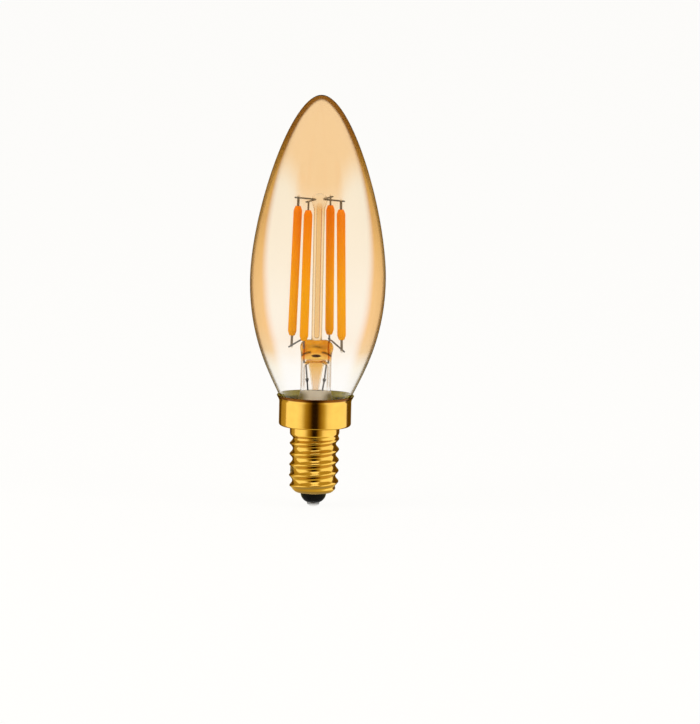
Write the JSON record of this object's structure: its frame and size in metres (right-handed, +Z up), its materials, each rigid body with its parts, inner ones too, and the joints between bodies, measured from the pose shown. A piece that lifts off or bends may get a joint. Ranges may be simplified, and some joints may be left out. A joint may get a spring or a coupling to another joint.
{
  "type": "candle bulb",
  "caption": "Candle-shaped clear LED filament bulb, faintly gold glass over upright orange filaments on a wire-and-glass stem, with a small brass screw cap and wide flared collar.",
  "frame": {"origin": "centre of the contact's flat, at the foot of the cap", "axes": "+Z up the bulb's axis to the glass tip; +X to the right in the picture's view along +Y"},
  "size_m": [0.032, 0.032, 0.098],
  "materials": {
    "cap_brass": "polished",
    "black_glass": "gloss",
    "tin_contact": "satin",
    "tinted_glass": "polished, faint gold tint",
    "stem_glass": "clear, fire-polished",
    "phosphor": "matt",
    "tab_metal": "satin",
    "lead_wire": "dark drawn wire",
    "cement": "matt",
    "board": "satin",
    "package": "matt",
    "capacitor": "satin",
    "resistor": "satin",
    "tinned_wire": "tinned",
    "solder": "satin"
  },
  "bodies": {
    "root": {"basing_cement": "cement", "board_solder": "solder", "bridge_rectifier": "package", "cap_shell": "cap_brass", "capacitor": "capacitor", "centre_contact": "tin_contact", "contact_wire": "tinned_wire", "driver_board": "board", "driver_chip": "package", "exhaust_tube": "stem_glass", "filament_foot_tab_1": "tab_metal", "filament_foot_tab_2": "tab_metal", "filament_foot_tab_3": "tab_metal", "filament_foot_tab_4": "tab_metal", "filament_top_tab_1": "tab_metal", "filament_top_tab_2": "tab_metal", "filament_top_tab_3": "tab_metal", "filament_top_tab_4": "tab_metal", "foot_wire_left": "lead_wire", "foot_wire_right": "lead_wire", "fusible_resistor": "resistor", "glass_envelope": "tinted_glass", "inner_lead_left": "lead_wire", "inner_lead_right": "lead_wire", "insulator": "black_glass", "led_filament_1": "phosphor", "led_filament_2": "phosphor", "led_filament_3": "phosphor", "led_filament_4": "phosphor", "outer_lead_left": "lead_wire", "outer_lead_right": "lead_wire", "resistor_lead": "tinned_wire", "shell_solder": "solder", "shell_wire": "tinned_wire", "stem_flare": "stem_glass", "support_pillar": "stem_glass", "support_wire_left": "lead_wire", "support_wire_right": "lead_wire"}
  },
  "joints": []
}
